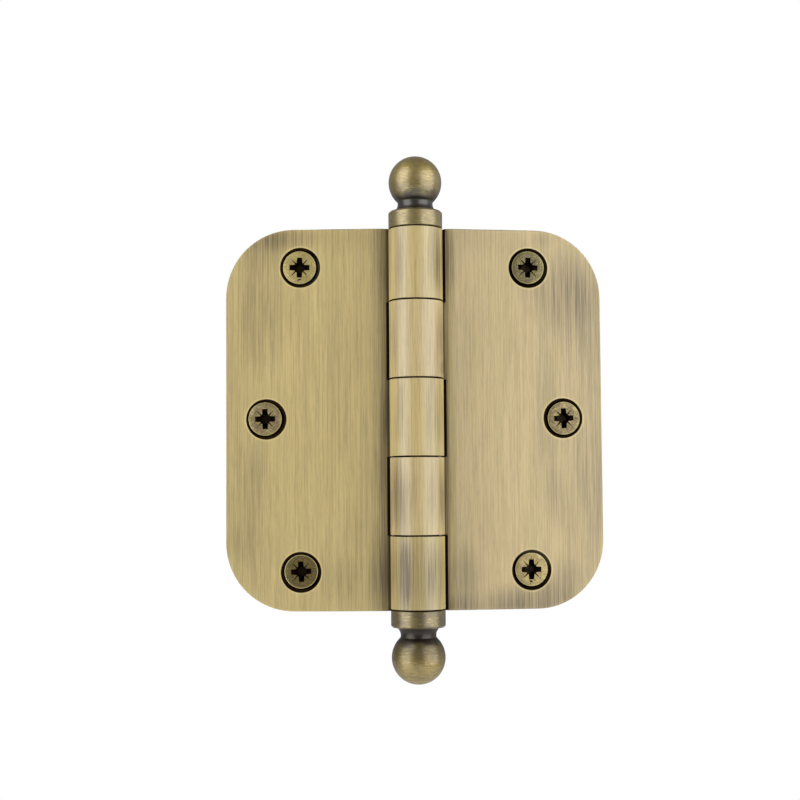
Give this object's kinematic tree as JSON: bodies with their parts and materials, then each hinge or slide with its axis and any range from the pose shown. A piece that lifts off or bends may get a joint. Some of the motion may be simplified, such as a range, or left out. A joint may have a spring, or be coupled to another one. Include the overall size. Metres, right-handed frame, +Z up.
{
  "type": "door hinge",
  "caption": "Full mortise butt hinge for a room door: two leaves with round corners, a knuckled barrel on a loose pin, ball tips at both ends and countersunk wood screws.",
  "frame": {"origin": "on the pin's axis, at the barrel's mid height", "axes": "+Z up the pin; the left leaf lies flat towards -X, its countersunk face towards -Y; the right leaf reaches towards +X, folded back towards +Y at rest"},
  "size_m": [0.0878, 0.0395, 0.1222],
  "materials": {
    "leaf_brass": "antique brass, brushed along the pin",
    "tip_brass": "antique brass, turned, dark in the necks",
    "screw_brass": "antique brass, dull",
    "pin_steel": "drawn steel, oiled"
  },
  "bodies": {
    "fixed_leaf": {"left_leaf": "leaf_brass", "left_screw_top": "screw_brass", "left_screw_middle": "screw_brass", "left_screw_bottom": "screw_brass"},
    "swinging_leaf": {"right_leaf": "leaf_brass", "right_screw_top": "screw_brass", "right_screw_middle": "screw_brass", "right_screw_bottom": "screw_brass"},
    "pin_and_tips": {"hinge_pin": "pin_steel", "top_ball_tip": "tip_brass", "bottom_ball_tip": "tip_brass"}
  },
  "joints": [
    {"name": "leaf_swing", "type": "hinge", "parent": "fixed_leaf", "child": "swinging_leaf", "pos_m": [0, 0, 0], "axis": [0, 0, 1], "range_deg": [-191.2, 68.8]},
    {"name": "pin_turn", "type": "hinge", "parent": "fixed_leaf", "child": "pin_and_tips", "pos_m": [0, 0, 0], "axis": [0, 0, 1], "continuous": true}
  ]
}
